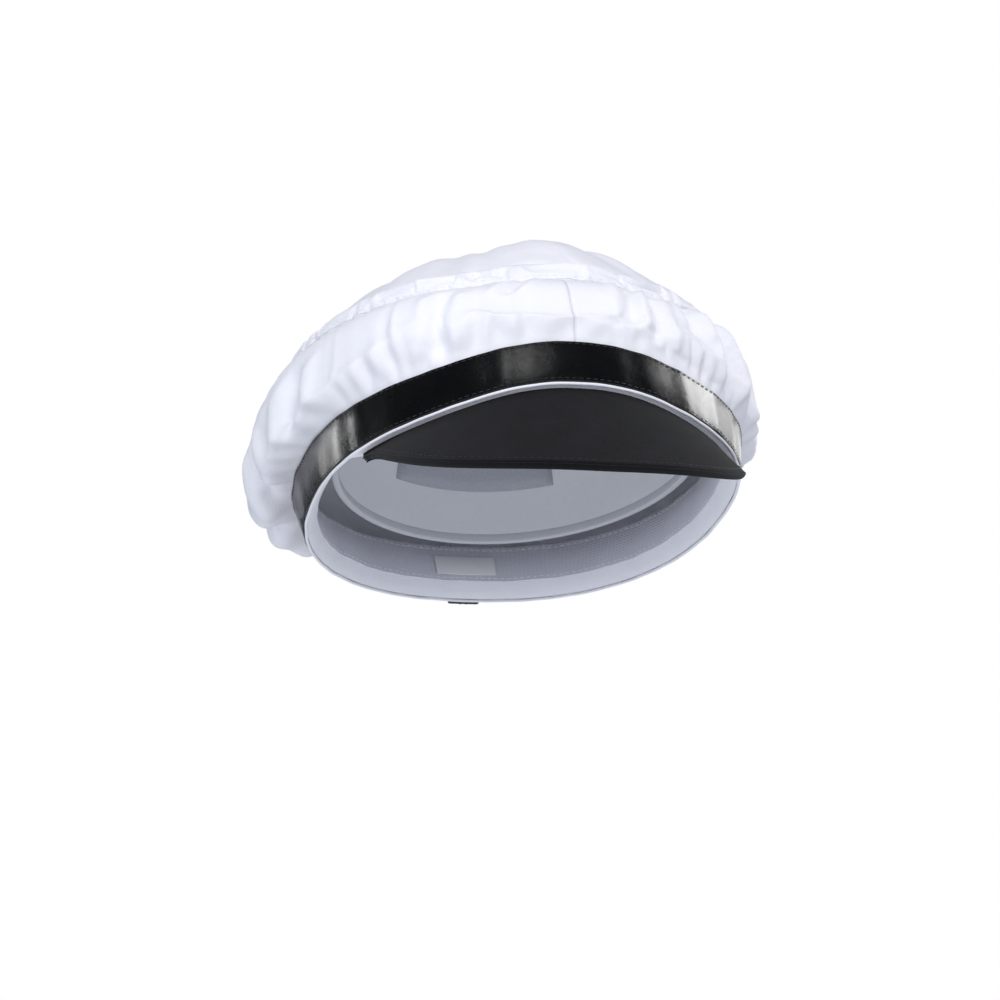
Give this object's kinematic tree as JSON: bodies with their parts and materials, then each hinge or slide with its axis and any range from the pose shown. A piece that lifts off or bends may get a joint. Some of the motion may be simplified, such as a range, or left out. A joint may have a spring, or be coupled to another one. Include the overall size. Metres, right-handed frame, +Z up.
{
  "type": "bump cap",
  "caption": "Soft white gathered cap with a glossy black band, a short steep cloth-covered peak, a padded lift-out hard insert and an adjuster strap at the nape.",
  "frame": {"origin": "centre of the head opening, in the plane of the black band's lower edge", "axes": "+Z up out of the crown, -Y towards the peak, +X to the wearer's left"},
  "size_m": [0.2226, 0.265, 0.1515],
  "materials": {
    "white_cloth": "plain-woven poly-cotton, slight sheen",
    "leatherette": "glossy black leatherette",
    "charcoal_cloth": "matte charcoal cloth",
    "grey_cloth": "brushed tricot sweatband",
    "elastic": "ribbed elastic webbing",
    "buckram": "stiff buckram",
    "board": "polyethylene board",
    "abs": "moulded ABS",
    "foam": "closed-cell EVA foam",
    "black_plastic": "moulded nylon",
    "hook_loop": "hook and loop"
  },
  "bodies": {
    "cap": {"crown_top_panel": "white_cloth", "crown_side_left": "white_cloth", "crown_side_right": "white_cloth", "crown_seam_tape": "white_cloth", "loop_patch": "hook_loop", "leather_band": "leatherette", "band_piping": "white_cloth", "headband_base": "white_cloth", "rear_elastic": "elastic", "band_stiffener_left": "buckram", "band_stiffener_right": "buckram", "sweatband": "grey_cloth", "size_label": "white_cloth", "peak_top_cover": "charcoal_cloth", "peak_board": "board", "peak_under_cover": "charcoal_cloth", "peak_binding": "charcoal_cloth", "adjuster_strap": "leatherette"},
    "insert": {"impact_shell": "abs", "shell_edge_trim": "black_plastic", "pad_crown": "foam", "pad_front": "foam", "pad_rear": "foam", "pad_left": "foam", "pad_right": "foam", "hook_patch": "hook_loop"},
    "slider": {"strap_slider": "black_plastic"}
  },
  "joints": [
    {"name": "insert_slide", "type": "slide", "parent": "cap", "child": "insert", "axis": [0, 0, -1], "range_m": [0, 0.12]},
    {"name": "slider_slide", "type": "slide", "parent": "cap", "child": "slider", "axis": [1, 0, 0], "range_m": [-0.014, 0.014]}
  ]
}
